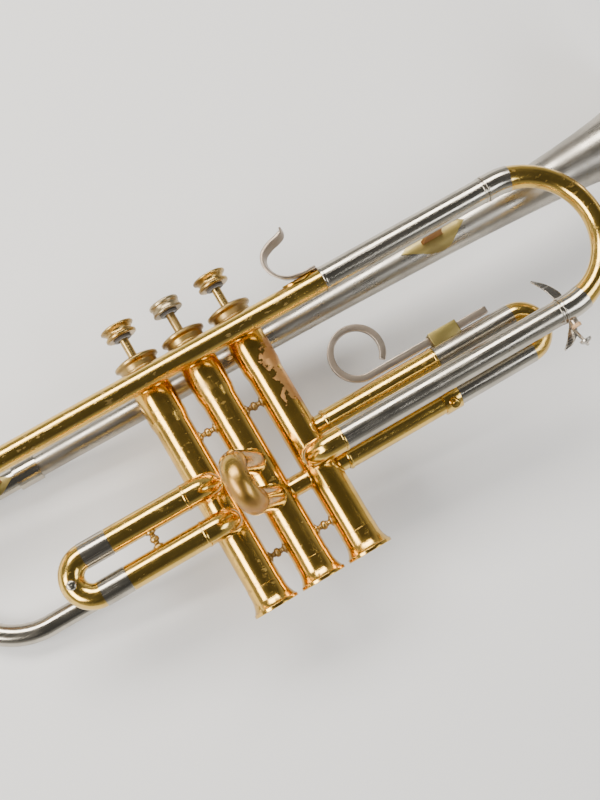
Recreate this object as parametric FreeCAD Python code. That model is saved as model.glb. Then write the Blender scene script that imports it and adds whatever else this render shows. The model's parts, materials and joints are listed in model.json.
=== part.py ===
import FreeCAD, Part

import math
import os

# A B-flat trumpet lying on its left side, in millimetres.
# The origin is the centre of the mouthpiece receiver's mouth. +X runs along the leadpipe
# towards the bell, +Y towards the finger buttons, and +Z towards the player's right side.

V = FreeCAD.Vector
X_AXIS = V(1, 0, 0)
Y_AXIS = V(0, 1, 0)
Z_AXIS = V(0, 0, 1)

# ---- driving dimensions ----------------------------------------------------------------

# Where the main parts stand in the frame.
valve_spacing = 26.5
valve_2_x = 208.0
valve_z = -17.0
valve_x = [valve_2_x - valve_spacing, valve_2_x, valve_2_x + valve_spacing]

# Valve casings, from the bottom thread up to the top thread.
casing_bore = 8.55
casing_r = 9.25
chamber_bore = 9.0
chamber_r = 10.0
spigot_bottom_r = 8.98
spigot_top_r = 9.6
casing_bottom = -122.0
bottom_shoulder = -114.2
taper_low = -24.3
taper_high = -19.5
chamber_floor = -19.5
top_shoulder = 7.5
casing_top = 12.0

# Valve caps.
thread_gap = 0.05
cap_rim_r = 11.85
top_cap_r = 10.1
top_cap_underside = casing_top
top_rim_low = 12.0
top_rim_high = 14.8
top_dome = 15.6
stem_hole_r = 2.65
bottom_cap_top_r = 9.45
bottom_flare_high = -117.5
bottom_rim_high = -125.0
bottom_rim_low = -127.0
bottom_cap_floor = -123.0
drain_hole_r = 1.6

# Pistons, stems and buttons.
piston_r = 8.5
piston_bore = 7.6
piston_bottom = -110.0
piston_top = 9.4
piston_wall = 1.9
barrel_floor = -44.0
valve_travel = 10.5
passage_r = 4.6
passage_tube_r = 5.1
passage_heights = [-62.0, -77.5, -95.0]
passage_turns = [45.0, 0.0, 90.0]
guide_low = -19.4
guide_high = -16.4
guide_r = 7.4
guide_arm_r = 8.9
guide_arm_half = 1.4
slot_half = 1.6
spring_r = 6.4
spring_wire_r = 0.45
spring_turns = 7
spring_runs_per_turn = 14
stem_r = 2.35
button_low = 27.4
button_high = 34.0
outer_button_r = 9.0
outer_button_waist_r = 6.9
outer_button_foot_r = 7.6
middle_button_r = 8.0
button_felt_r = 6.2
button_felt_height = 1.2
stem_felt_r = 7.0

# Slide tubing, shared by every slide.
sleeve_r = 6.5
sleeve_bore = 6.0
slide_tube_r = 5.95
slide_tube_bore = 5.5
crook_r = 6.4
ferrule_r = 6.6
solder_gap = 0.02
parting_gap = 0.4
elbow_r = 6.6
elbow_bore = 5.5
elbow_radius = 8.0

# Leadpipe and mouthpiece receiver.
leadpipe_r = 5.9
leadpipe_bore = 5.2
leadpipe_start = 28.0
leadpipe_end = 286.0
receiver_length = 46.0
receiver_mouth_bore = 5.45
receiver_mouth_depth = 6.0
receiver_throat_bore = 4.75
receiver_ring_r = 7.4
receiver_ring_length = 5.0
receiver_front_r = 6.9
receiver_back_r = 6.5

# Main tuning slide: two legs in the leadpipe's plane, joined by a half-round crook.
main_leg_spacing = 73.0
main_low_y = -main_leg_spacing
main_sleeve_start = 280.3
main_low_sleeve_start = 248.0
main_sleeve_end = 375.0
main_bend_x = 380.3
main_bend_radius = main_leg_spacing / 2
main_ferrule_r = 6.8
main_ferrule_angle = 14.0
main_crook_r = 5.65
main_crook_wall = 0.6
main_tube_start = 292.0

# Finger hook, a bent strip on top of the leadpipe.
hook_foot_x = 280.0
hook_strip = 1.6
hook_breadth = 8.0
hook_path = [
    (268.5, 6.7),
    (263.2, 10.2),
    (259.4, 15.6),
    (258.7, 21.0),
    (262.0, 26.4),
    (268.6, 29.0),
    (275.0, 33.2),
]

# Bell and bell bow.
bell_y = -4.8
bell_z = -35.0
bell_tail_x = 107.0
bow_bend_x = 80.6
bell_rim_x = 520.0
bell_rim_r = 62.6
bell_base_r = 3.0
bell_flare_length = 13.3
bell_flare_power = 0.86
bell_wall = 0.6
bell_seams = [400.0, 470.0]
rim_roll_r = 1.5
rim_wire_r = 0.85
bow_leg_spacing = 73.0
bow_radius = bow_leg_spacing / 2
bow_low_y = bell_y - bow_leg_spacing
bow_low_r = 5.4
bow_wall = 0.6
bow_ferrule_r = 7.2
bow_ferrule_length = 12.5
bow_ferrule_start = 101.0
bow_straight_end = 168.0

# First valve slide, towards the player, in the leadpipe's plane.
first_leg_y = [-60.0, -80.0]
first_z = 0.0
first_elbow_end = 169.4
first_sleeve_end = 127.6
first_bend_x = 113.2
first_tube_end = 166.0
first_post_x = 146.6

# Second valve slide, out to the player's right and leaning back.
second_leg_y = [-60.4, -80.4]
second_lean = 16.5
second_sleeve_reach = 34.0
second_bend_reach = 44.0
second_tube_start = 12.0

# Third valve slide, towards the bell, a little behind the valves' plane.
third_leg_y = [-60.5, -80.5]
third_z = valve_z - 2.0
third_stub_r = 5.7
third_stub_bore = 5.1
third_sleeve_start = 247.5
third_sleeve_end = 313.0
third_bend_x = 358.2
third_tube_start = 250.5
third_collar_r = 7.5
third_collar_length = 9.0
third_stop_screw_r = 1.6

# Finger ring on the third slide: a bent bar held in a clamp.
ring_centre_x = 279.9
ring_radius = 13.3
bar_height = 3.9
bar_breadth = 3.2
bar_y = -51.1
bar_end_x = 349.4
ring_gap_angle = 41.0
clamp_low_x = 315.4
clamp_high_x = 331.6
clamp_top_y = -47.7
clamp_breadth = 7.4
clamp_clearance = 0.3
thumbscrew_x = 319.6
thumbscrew_head_r = 3.8
thumbscrew_head_height = 3.0
thumbscrew_shank_r = 1.25

# Water key on the tuning slide's lower leg.
key_pivot_x = 380.3
key_pivot_z = -8.45
key_pin_r = 0.6
key_hub_r = 1.4
key_hub_length = 5.0
key_lug_thickness = 1.2
key_strip = 1.0
key_arc_radius = 25.0
key_arc_width = 3.0
key_arm_angle = 49.0
key_cup_x = 378.6
key_cup_r = 3.2
key_cup_top = -82.6
key_cork_r = 2.6
cork_stand = 0.6
key_nipple_r = 2.2
key_nipple_bore = 1.2

# Braces and posts.
second_port_y = -62.0
third_port_y = -80.5
port_tube_r = 5.2
port_tube_bore = 4.7
post_heights = [-35.7, -104.2]
post_flare_r = 2.5
post_neck_r = 1.25
post_ball_r = 2.3
brace_plate = 0.7
front_brace_x = 347.0
front_brace_length = 36.0
rear_brace_x = 88.0
rear_brace_length = 24.0
brace_leaf_width = 11.0
brace_web_width = 12.0
brace_web_thickness = 2.2

axis_2 = V(-math.sin(math.radians(second_lean)), 0, math.cos(math.radians(second_lean)))


# ---- shapes that the sub-parts share ---------------------------------------------------

def rod(start, end, radius):
    """A solid cylinder from one point to another."""
    run = end - start
    return Part.makeCylinder(radius, run.Length, start, run)


def pipe(start, end, outer, bore):
    """A straight tube."""
    return rod(start, end, outer).cut(rod(start, end, bore))


def turned(profile, base, axis):
    """A closed outline of (along the axis, radius) points, turned about that axis."""
    side = axis.cross(Z_AXIS)
    if side.Length < 0.1:
        side = X_AXIS
    side.normalize()
    corners = [base + axis * along + side * radius for along, radius in profile]
    face = Part.Face(Part.makePolygon(corners + corners[:1]))
    return face.revolve(base, axis, 360)


def bend_rod(start, direction, centre, axis, angle, radius):
    """A solid round bar bent about a centre."""
    outline = Part.Wire(Part.Circle(start, direction, radius).toShape())
    return Part.Face(outline).revolve(centre, axis, angle)


def half_round(centre, start, direction, axis, outer, bore):
    """A tube bent through half a turn."""
    skin = bend_rod(start, direction, centre, axis, 180, outer)
    return skin.cut(bend_rod(start, direction, centre, axis, 180, bore))


def tapered_bend(centre, radius, sections):
    """A solid bent bar in an XY plane, through (angle, radius) sections."""
    def at(angle):
        turn = math.radians(angle)
        return centre + V(math.cos(turn), math.sin(turn), 0) * radius

    first, last = sections[0][0], sections[-1][0]
    spine = Part.Wire(Part.Arc(at(first), at((first + last) / 2), at(last)).toShape())
    rings = []
    for angle, ring_r in sections:
        turn = math.radians(angle)
        along = V(-math.sin(turn), math.cos(turn), 0)
        rings.append(Part.Wire(Part.Circle(at(angle), along, ring_r).toShape()))
    return spine.makePipeShell(rings, True, False)


def casing_body(x):
    """The space that a casing's outside fills, used to trim what is soldered to it."""
    return rod(V(x, casing_bottom, valve_z), V(x, taper_low, valve_z), casing_r)


def trimmed(shape, indexes):
    """A shape with the outsides of the named casings taken away."""
    for index in indexes:
        shape = shape.cut(casing_body(valve_x[index]))
    return shape


def elbow_rod(x, y, leg_z, way, leg_end, radius, past):
    """A bar that leaves a casing sideways and turns along X; way is 1 or -1."""
    side = 1 if leg_z > valve_z else -1
    turn_z = leg_z - side * elbow_radius
    lean = elbow_radius * (1 - math.sqrt(0.5))
    foot = V(x, y, valve_z + side * (casing_bore - 1 - past))
    corner = V(x, y, turn_z)
    middle = V(x + way * lean, y, leg_z - side * lean)
    exit_point = V(x + way * elbow_radius, y, leg_z)
    tip = V(leg_end + way * past, y, leg_z)
    path = Part.Wire([
        Part.LineSegment(foot, corner).toShape(),
        Part.Arc(corner, middle, exit_point).toShape(),
        Part.LineSegment(exit_point, tip).toShape(),
    ])
    section = Part.Wire(Part.Circle(foot, Z_AXIS * side, radius).toShape())
    return path.makePipeShell([section], True, False)


def elbow(index, y, leg_z, way, leg_end, outer, bore):
    """A knuckle tube from a casing to a leg along X."""
    x = valve_x[index]
    skin = elbow_rod(x, y, leg_z, way, leg_end, outer, 0)
    return trimmed(skin.cut(elbow_rod(x, y, leg_z, way, leg_end, bore, 1)), [index])


def turned_post(start, end):
    """A lathe-turned post with a ball at its middle; its ends run 1 mm past the gap."""
    run = end - start
    length = run.Length
    axis = V(run).normalize()
    middle = length / 2
    profile = [
        (-1, 0),
        (-1, post_flare_r),
        (0.6, post_flare_r),
        (middle - 2.2, post_neck_r),
        (middle - 1.3, post_ball_r - 0.5),
        (middle - 0.5, post_ball_r),
        (middle + 0.5, post_ball_r),
        (middle + 1.3, post_ball_r - 0.5),
        (middle + 2.2, post_neck_r),
        (length - 0.6, post_flare_r),
        (length + 1, post_flare_r),
        (length + 1, 0),
    ]
    return turned(profile, start, axis)


# ---- valves ----------------------------------------------------------------------------

def casing_ports(index):
    """The bores through a casing's wall: one per tube that is soldered to it."""
    x = valve_x[index]

    def bore(y, direction, radius, z=valve_z):
        base = V(x, y, z)
        return rod(base, base + direction * (chamber_r + 1), radius)

    if index == 0:
        ports = [bore(y, Z_AXIS, elbow_bore) for y in first_leg_y]
        ports += [bore(bow_low_y, Z_AXIS * -1, bow_low_r - bow_wall)]
        ports += [bore(second_port_y, X_AXIS, port_tube_bore)]
    elif index == 1:
        ports = [bore(y, axis_2, sleeve_bore) for y in second_leg_y]
        ports += [bore(second_port_y, X_AXIS * -1, port_tube_bore)]
        ports += [bore(third_port_y, X_AXIS, port_tube_bore)]
    else:
        ports = [bore(y, X_AXIS, third_stub_bore, third_z) for y in third_leg_y]
        ports += [bore(third_port_y, X_AXIS * -1, port_tube_bore)]
        ports += [bore(main_low_y, Z_AXIS, elbow_bore)]
    return ports


def valve_casing(index):
    """A casing: narrow below, with a wider spring chamber above, threaded at both ends."""
    outline = [
        (casing_bottom, casing_bore),
        (casing_bottom, spigot_bottom_r),
        (bottom_shoulder, spigot_bottom_r),
        (bottom_shoulder, casing_r),
        (taper_low, casing_r),
        (taper_high, chamber_r),
        (top_shoulder, chamber_r),
        (top_shoulder, spigot_top_r),
        (casing_top, spigot_top_r),
        (casing_top, chamber_bore),
        (chamber_floor, chamber_bore),
        (chamber_floor, casing_bore),
    ]
    shell = turned(outline, V(valve_x[index], 0, valve_z), Y_AXIS)
    return shell.cut(casing_ports(index))


def top_cap(x):
    """The cap that the stem passes through, with a rim for the fingers."""
    skirt_bore = spigot_top_r + thread_gap
    outline = [
        (top_shoulder, skirt_bore),
        (top_shoulder, top_cap_r),
        (top_rim_low, top_cap_r),
        (top_rim_low + 0.3, cap_rim_r - 0.2),
        (top_rim_low + 0.8, cap_rim_r),
        (top_rim_high - 0.7, cap_rim_r),
        (top_rim_high, cap_rim_r - 0.9),
        (top_dome, stem_hole_r + 2.5),
        (top_dome, stem_hole_r),
        (top_cap_underside + thread_gap, stem_hole_r),
        (top_cap_underside + thread_gap, skirt_bore),
    ]
    return turned(outline, V(x, 0, valve_z), Y_AXIS)


def bottom_cap(x):
    """The cap under the piston, flared out to a thin rim, with a drain hole."""
    socket = spigot_bottom_r + thread_gap
    flare = []
    for step in range(8):
        share = step / 7
        height = bottom_flare_high + (bottom_rim_high - bottom_flare_high) * share
        flare.append((height, bottom_cap_top_r + (cap_rim_r - 0.4 - bottom_cap_top_r) * share ** 2.4))
    outline = [
        (bottom_shoulder - thread_gap, socket),
        (bottom_shoulder - thread_gap, bottom_cap_top_r),
        *flare,
        (bottom_rim_high - 0.3, cap_rim_r),
        (bottom_rim_low + 0.5, cap_rim_r),
        (bottom_rim_low, cap_rim_r - 0.5),
        (bottom_rim_low, casing_r),
        (bottom_rim_low + 1.6, casing_r - 1.2),
        (bottom_rim_low + 1.6, drain_hole_r),
        (bottom_cap_floor, drain_hole_r),
        (bottom_cap_floor, socket),
    ]
    return turned(outline, V(x, 0, valve_z), Y_AXIS)


def piston(x):
    """A hollow piston: a spring barrel above, and a body crossed by three air passages."""
    outline = [
        (piston_bottom, 0),
        (piston_bottom, piston_r),
        (piston_top, piston_r),
        (piston_top, stem_r + 0.02),
        (piston_top - piston_wall, stem_r + 0.02),
        (piston_top - piston_wall, piston_bore),
        (barrel_floor, piston_bore),
        (barrel_floor, 0),
    ]
    base = V(x, 0, valve_z)
    shell = turned(outline, base, Y_AXIS)
    low = piston_bottom + piston_wall
    high = barrel_floor - piston_wall
    hollow = rod(base + V(0, low, 0), base + V(0, high, 0), piston_bore)
    tubes = []
    bores = []
    for height, turn in zip(passage_heights, passage_turns):
        way = V(math.cos(math.radians(turn)), 0, math.sin(math.radians(turn)))
        middle = base + V(0, height, 0)
        tubes.append(rod(middle - way * 8, middle + way * 8, passage_tube_r))
        bores.append(rod(middle - way * 10, middle + way * 10, passage_r))
    body = shell.cut(hollow.cut(tubes))
    slot_low = guide_low - 0.6
    slot_high = guide_high + valve_travel + 0.6
    slot_corner = V(x - slot_half, slot_low, valve_z - 10)
    slot = Part.makeBox(2 * slot_half, slot_high - slot_low, 20, slot_corner)
    return body.cut(bores + [slot])


def valve_guide(x):
    """The star-shaped guide that rests on the chamber's ledge and stops the piston turning."""
    base = V(x, guide_low, valve_z)
    height = guide_high - guide_low
    disc = rod(base, base + V(0, height, 0), guide_r)
    arm_corner = V(x - guide_arm_half, guide_low, valve_z - guide_arm_r)
    arms = Part.makeBox(2 * guide_arm_half, height, 2 * guide_arm_r, arm_corner)
    hole = rod(base - V(0, 1, 0), base + V(0, height + 1, 0), 3.0)
    ledge = rod(base, base + V(0, height, 0), chamber_bore - 0.05)
    return disc.fuse(arms).common(ledge).cut(hole)


def valve_spring(x):
    """A coil spring between the guide and the top of the piston's barrel, in short flat runs."""
    low = guide_high + spring_wire_r + 0.1
    high = piston_top - piston_wall - spring_wire_r - 0.1
    count = spring_turns * spring_runs_per_turn

    def at(step):
        turn = 2 * math.pi * step / spring_runs_per_turn
        height = low + (high - low) * step / count
        return V(x + spring_r * math.cos(turn), height, valve_z + spring_r * math.sin(turn))

    path = Part.makePolygon([at(step) for step in range(count + 1)])
    along = at(1) - at(0)
    up = along.cross(X_AXIS).normalize()
    side = up.cross(along).normalize()
    corners = []
    for step in range(7):
        turn = math.radians(60 * step)
        corners.append(at(0) + (side * math.cos(turn) + up * math.sin(turn)) * spring_wire_r)
    return path.makePipeShell([Part.makePolygon(corners)], True, True, 1)


def piston_stem(x):
    """The stem from the piston's top to the button."""
    base = V(x, piston_top - piston_wall, valve_z)
    shank = rod(base, V(x, button_low + 2.5, valve_z), stem_r)
    return shank


def outer_button(x):
    """A dished button with a wide thin top flange and a narrower foot."""
    outline = [
        (button_low, stem_r + 0.02),
        (button_low, outer_button_foot_r - 0.3),
        (button_low + 0.5, outer_button_foot_r),
        (button_low + 1.3, outer_button_foot_r),
        (button_low + 2.0, outer_button_waist_r + 0.1),
        (button_low + 3.0, outer_button_waist_r),
        (button_low + 4.2, outer_button_waist_r + 0.7),
        (button_high - 1.7, outer_button_r - 0.4),
        (button_high - 1.1, outer_button_r),
        (button_high - 0.5, outer_button_r),
        (button_high, outer_button_r - 0.6),
        (button_high, outer_button_r - 1.8),
        (button_high - 0.8, outer_button_r - 3.2),
        (button_high - 1.0, 0),
        (button_low + 2.5, 0),
        (button_low + 2.5, stem_r + 0.02),
    ]
    return turned(outline, V(x, 0, valve_z), Y_AXIS)


def middle_button(x):
    """A straight-sided button with a bead at its top and its foot."""
    outline = [
        (button_low, stem_r + 0.02),
        (button_low, middle_button_r - 0.4),
        (button_low + 0.5, middle_button_r),
        (button_low + 1.1, middle_button_r),
        (button_low + 1.5, middle_button_r - 0.35),
        (button_high - 2.2, middle_button_r - 0.35),
        (button_high - 1.7, middle_button_r),
        (button_high - 1.0, middle_button_r),
        (button_high - 0.4, middle_button_r - 0.5),
        (button_high - 0.2, middle_button_r - 2.0),
        (button_high - 0.9, middle_button_r - 3.0),
        (button_high - 0.9, 0),
        (button_low + 2.5, 0),
        (button_low + 2.5, stem_r + 0.02),
    ]
    return turned(outline, V(x, 0, valve_z), Y_AXIS)


def piston_felts(x):
    """One felt washer under the button and one on top of the piston."""
    upper = [
        (button_low - button_felt_height, stem_r + 0.1),
        (button_low - button_felt_height, button_felt_r),
        (button_low - 0.02, button_felt_r),
        (button_low - 0.02, stem_r + 0.1),
    ]
    lower = [
        (piston_top + 0.02, stem_r + 0.1),
        (piston_top + 0.02, stem_felt_r),
        (top_cap_underside - 0.1, stem_felt_r),
        (top_cap_underside - 0.1, stem_r + 0.1),
    ]
    base = V(x, 0, valve_z)
    return Part.makeCompound([turned(upper, base, Y_AXIS), turned(lower, base, Y_AXIS)])


def port_tubes():
    """The two short tubes that carry the air from one casing to the next."""
    tubes = []
    for index, y in ((0, second_port_y), (1, third_port_y)):
        start = V(valve_x[index], y, valve_z)
        end = V(valve_x[index + 1], y, valve_z)
        tubes.append(trimmed(pipe(start, end, port_tube_r, port_tube_bore), [index, index + 1]))
    return Part.makeCompound(tubes)


def turned_posts():
    """Posts between the casings, and one between the first slide's sleeves."""
    posts = []
    for index in (0, 1):
        for y in post_heights:
            start = V(valve_x[index] + casing_r, y, valve_z)
            end = V(valve_x[index + 1] - casing_r, y, valve_z)
            posts.append(trimmed(turned_post(start, end), [index, index + 1]))
    upper, lower = first_leg_y
    start = V(first_post_x, upper - sleeve_r, first_z)
    end = V(first_post_x, lower + sleeve_r, first_z)
    post = turned_post(start, end)
    for y in first_leg_y:
        sleeve = rod(V(first_post_x - 5, y, first_z), V(first_post_x + 5, y, first_z), sleeve_r)
        post = post.cut(sleeve)
    return Part.makeCompound(posts + [post])


# ---- leadpipe and main tuning slide ----------------------------------------------------

def mouthpiece_receiver():
    """The socket that the mouthpiece's shank wedges into, with a ring at its mouth."""
    outline = [
        (0, receiver_mouth_bore),
        (0, receiver_ring_r - 0.5),
        (0.6, receiver_ring_r),
        (receiver_ring_length - 0.6, receiver_ring_r),
        (receiver_ring_length, receiver_front_r),
        (receiver_length, receiver_back_r),
        (receiver_length, leadpipe_r + solder_gap),
        (leadpipe_start, leadpipe_r + solder_gap),
        (leadpipe_start, receiver_throat_bore),
        (receiver_mouth_depth, receiver_mouth_bore),
    ]
    return turned(outline, V(0, 0, 0), X_AXIS)


def leadpipe():
    return pipe(V(leadpipe_start + 0.1, 0, 0), V(leadpipe_end, 0, 0), leadpipe_r, leadpipe_bore)


def main_sleeves():
    """The tuning slide's two fixed outer tubes."""
    upper = pipe(V(main_sleeve_start, 0, 0), V(main_sleeve_end, 0, 0), sleeve_r, sleeve_bore)
    low_start = V(main_low_sleeve_start, main_low_y, 0)
    low_end = V(main_sleeve_end, main_low_y, 0)
    return Part.makeCompound([upper, pipe(low_start, low_end, sleeve_r, sleeve_bore)])


def main_slide_tubes():
    """The tuning slide's two inner tubes."""
    tubes = []
    for y in (0, main_low_y):
        start = V(main_tube_start, y, 0)
        tubes.append(pipe(start, V(main_bend_x, y, 0), slide_tube_r, slide_tube_bore))
    tubes[1] = tubes[1].cut(water_hole())
    return Part.makeCompound(tubes)


def main_ferrules():
    """Sleeves over the joints between the crook and the inner tubes; they follow the bend."""
    ferrules = []
    centre = V(main_bend_x, -main_bend_radius, 0)
    for y, way in ((0, -1), (main_low_y, 1)):
        start = V(main_sleeve_end + parting_gap, y, 0)
        corner = V(main_bend_x, y, 0)

        def solid(radius, angle):
            arc = bend_rod(corner, X_AXIS, centre, Z_AXIS * way, angle, radius)
            return rod(start, corner, radius).fuse(arc)

        hollow = solid(slide_tube_r + solder_gap, main_ferrule_angle)
        ferrules.append(solid(main_ferrule_r, main_ferrule_angle).cut(hollow))
    ferrules[1] = ferrules[1].cut(water_hole())
    return Part.makeCompound(ferrules)


def main_crook():
    """The half-round crook: wide at its ferrules and narrower round the bend."""
    centre = V(main_bend_x, -main_bend_radius, 0)
    reach = 90 - main_ferrule_angle

    def solid(shrink):
        sections = [
            (-reach, main_ferrule_r - 0.25 - shrink),
            (-reach + 30, main_crook_r - shrink),
            (0, main_crook_r - shrink),
            (reach - 30, main_crook_r - shrink),
            (reach, main_ferrule_r - 0.25 - shrink),
        ]
        return tapered_bend(centre, main_bend_radius, sections)

    return solid(0).cut(solid(main_crook_wall))


def finger_hook():
    """A bent strip for the little finger, soldered on top of the leadpipe."""
    path = [V(x, y, 0) for x, y in hook_path]
    curve = Part.BSplineCurve()
    curve.interpolate(path, InitialTangent=V(-1, 0.05, 0), FinalTangent=V(0.75, 0.66, 0))
    count = 24
    first, last = curve.FirstParameter, curve.LastParameter
    sides = ([], [])
    for step in range(count + 1):
        parameter = first + (last - first) * step / count
        point = curve.value(parameter)
        tangent = curve.tangent(parameter)[0]
        normal = V(-tangent.y, tangent.x, 0)
        sides[0].append(point + normal * (hook_strip / 2))
        sides[1].append(point - normal * (hook_strip / 2))
    low, high = Part.BSplineCurve(), Part.BSplineCurve()
    low.interpolate(sides[0])
    high.interpolate(sides[1])
    foot_low = V(hook_foot_x, leadpipe_r + solder_gap, 0)
    foot_high = foot_low + V(0, hook_strip, 0)
    corners = [foot_high, sides[1][0], sides[0][0], foot_low]
    edges = [
        Part.LineSegment(foot_high, corners[1]).toShape(),
        high.toShape(),
        Part.LineSegment(sides[1][-1], sides[0][-1]).toShape(),
        low.toShape(),
        Part.LineSegment(corners[2], foot_low).toShape(),
        Part.LineSegment(foot_low, foot_high).toShape(),
    ]
    face = Part.Face(Part.Wire(Part.__sortEdges__(edges)))
    face.translate(V(0, 0, -hook_breadth / 2))
    strip = face.extrude(V(0, 0, hook_breadth))
    return strip.cut(rod(V(240, 0, 0), V(300, 0, 0), leadpipe_r + solder_gap))


# ---- water key -------------------------------------------------------------------------

def water_key_saddle():
    """Two lugs and a pin behind the lower ferrule, and the nipple that the cork closes."""
    lugs = []
    for way in (-1, 1):
        lug_middle = key_pivot_x + way * (key_hub_length / 2 + 0.3 + key_lug_thickness / 2)
        corner = V(lug_middle - key_lug_thickness / 2, main_low_y - 2.2, key_pivot_z - 1.5)
        lugs.append(Part.makeBox(key_lug_thickness, 4.4, 6.0, corner))
    reach = key_hub_length / 2 + 0.3 + key_lug_thickness + 0.8
    middle = V(key_pivot_x, main_low_y, key_pivot_z)
    pin = rod(middle - V(reach, 0, 0), middle + V(reach, 0, 0), key_pin_r)
    centre = V(main_bend_x, -main_bend_radius, 0)
    corner = V(main_bend_x, main_low_y, 0)
    straight = rod(V(main_sleeve_end, main_low_y, 0), corner, main_ferrule_r)
    arc = bend_rod(corner, X_AXIS, centre, Z_AXIS, 20, main_ferrule_r)
    saddle = lugs[0].fuse([lugs[1], pin]).cut([straight, arc])
    nipple_low = V(key_cup_x, key_cup_top + cork_stand + solder_gap, 0)
    nipple = pipe(nipple_low, V(key_cup_x, main_low_y - 4, 0), key_nipple_r, key_nipple_bore)
    return Part.makeCompound([saddle, nipple.cut([straight, arc])])


def water_hole():
    """The hole that the water runs out of, through the ferrule and the inner tube."""
    return rod(V(key_cup_x, main_low_y, 0), V(key_cup_x, main_low_y - 9, 0), key_nipple_bore)


def key_arc(z_low, start_angle, end_angle):
    """A flat curved strip in an XY plane, the body of the water key's lever."""
    centre = V(key_pivot_x - key_arc_radius, main_low_y, z_low)
    inner = key_arc_radius - key_arc_width / 2
    outer = key_arc_radius + key_arc_width / 2

    def at(radius, angle):
        turn = math.radians(angle)
        return centre + V(math.cos(turn), math.sin(turn), 0) * radius

    middle_angle = (start_angle + end_angle) / 2
    edges = [
        Part.Arc(at(outer, start_angle), at(outer, middle_angle), at(outer, end_angle)).toShape(),
        Part.LineSegment(at(outer, end_angle), at(inner, end_angle)).toShape(),
        Part.Arc(at(inner, end_angle), at(inner, middle_angle), at(inner, start_angle)).toShape(),
        Part.LineSegment(at(inner, start_angle), at(outer, start_angle)).toShape(),
    ]
    return Part.Face(Part.Wire(edges)).extrude(V(0, 0, key_strip))


def water_key_lever():
    """The curved lever: a touch piece above, a hub on the pin, and a cork cup below."""
    middle = V(key_pivot_x, main_low_y, key_pivot_z)
    half = V(key_hub_length / 2, 0, 0)
    strip = key_arc(key_pivot_z - key_hub_r, -key_arm_angle, key_arm_angle)
    hub = rod(middle - half, middle + half, key_hub_r)
    cup_low = V(key_cup_x, key_cup_top - 2.2, 0)
    cup = rod(cup_low, V(key_cup_x, key_cup_top, 0), key_cup_r)
    pocket = rod(V(key_cup_x, key_cup_top - 1.2, 0), V(key_cup_x, key_cup_top + 1, 0), key_cork_r + 0.05)
    arm_depth = -(key_pivot_z - key_hub_r)
    arm_corner = V(key_cup_x - 1.6, key_cup_top - 2.2, key_pivot_z - key_hub_r)
    arm = Part.makeBox(3.2, 1.0, arm_depth, arm_corner)
    hole = rod(middle - half * 1.5, middle + half * 1.5, key_pin_r + 0.05)
    return strip.fuse([hub, cup, arm]).cut([pocket, hole])


def water_key_cork():
    low = V(key_cup_x, key_cup_top - 1.2, 0)
    return rod(low, V(key_cup_x, key_cup_top + cork_stand, 0), key_cork_r)


# ---- bell ------------------------------------------------------------------------------

def bell_radius(x):
    """The bell's outer radius: a steep flare at the rim that dies away to a slow taper."""
    distance = bell_rim_x - x
    flare = ((distance + bell_flare_length) / bell_flare_length) ** -bell_flare_power
    return bell_base_r + (bell_rim_r - bell_base_r) * flare


def bell_stations():
    """Places along the bell, close together near the rim."""
    length = bell_rim_x - rim_roll_r - bell_tail_x
    return [bell_rim_x - rim_roll_r - length * (1 - step / 14) ** 2.2 for step in range(15)]


def bell():
    """The bell's skin in three lengths, the last with the rolled rim, and the wire in the roll."""
    stations = bell_stations()
    outside = Part.BSplineCurve()
    outside.interpolate([V(x, bell_y + bell_radius(x), bell_z) for x in stations])
    inside = Part.BSplineCurve()
    inside.interpolate([V(x, bell_y + bell_radius(x) - bell_wall, bell_z) for x in stations])
    tail, mouth = stations[0], stations[-1]
    top_tail = V(tail, bell_y + bell_radius(tail), bell_z)
    low_tail = V(tail, bell_y + bell_radius(tail) - bell_wall, bell_z)
    top_mouth = V(mouth, bell_y + bell_radius(mouth), bell_z)
    low_mouth = V(mouth, bell_y + bell_radius(mouth) - bell_wall, bell_z)
    edges = [
        outside.toShape(),
        Part.LineSegment(top_mouth, low_mouth).toShape(),
        inside.toShape(),
        Part.LineSegment(low_tail, top_tail).toShape(),
    ]
    face = Part.Face(Part.Wire(Part.__sortEdges__(edges)))
    axis_point = V(0, bell_y, bell_z)
    skin = face.revolve(axis_point, X_AXIS, 360)
    roll_centre = V(bell_rim_x - rim_roll_r, bell_y, bell_z)
    roll_ring_r = bell_radius(mouth) + rim_roll_r - bell_wall
    roll = Part.makeTorus(roll_ring_r, rim_roll_r, roll_centre, X_AXIS)
    hollow = Part.makeTorus(roll_ring_r, rim_wire_r + solder_gap, roll_centre, X_AXIS)
    wire = Part.makeTorus(roll_ring_r, rim_wire_r, roll_centre, X_AXIS)
    skin = skin.fuse(roll).cut(hollow)
    cuts = [bell_tail_x - 1, *bell_seams, bell_rim_x + 1]
    half = bell_rim_r + 5
    lengths = []
    for low, high in zip(cuts, cuts[1:]):
        slab = Part.makeBox(high - low, 2 * half, 2 * half, V(low, bell_y - half, bell_z - half))
        lengths.append(skin.common(slab))
    return Part.makeCompound(lengths + [wire])


def bell_bow():
    """The conical bow behind the player's hand, with a straight run at each end."""
    centre = V(bow_bend_x, bell_y - bow_radius, bell_z)
    tail_r = bell_radius(bell_tail_x)

    def solid(shrink):
        sections = [
            (90, tail_r - shrink),
            (180, (tail_r + bow_low_r) / 2 - shrink),
            (270, bow_low_r - shrink),
        ]
        bent = tapered_bend(centre, bow_radius, sections)
        high_start = V(bow_bend_x, bell_y, bell_z)
        high = rod(high_start, V(bell_tail_x - 0.1, bell_y, bell_z), tail_r - shrink)
        low_start = V(bow_bend_x, bow_low_y, bell_z)
        low = rod(low_start, V(bow_straight_end, bow_low_y, bell_z), bow_low_r - shrink)
        return bent.fuse([high, low])

    return solid(0).cut(solid(bow_wall))


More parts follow.
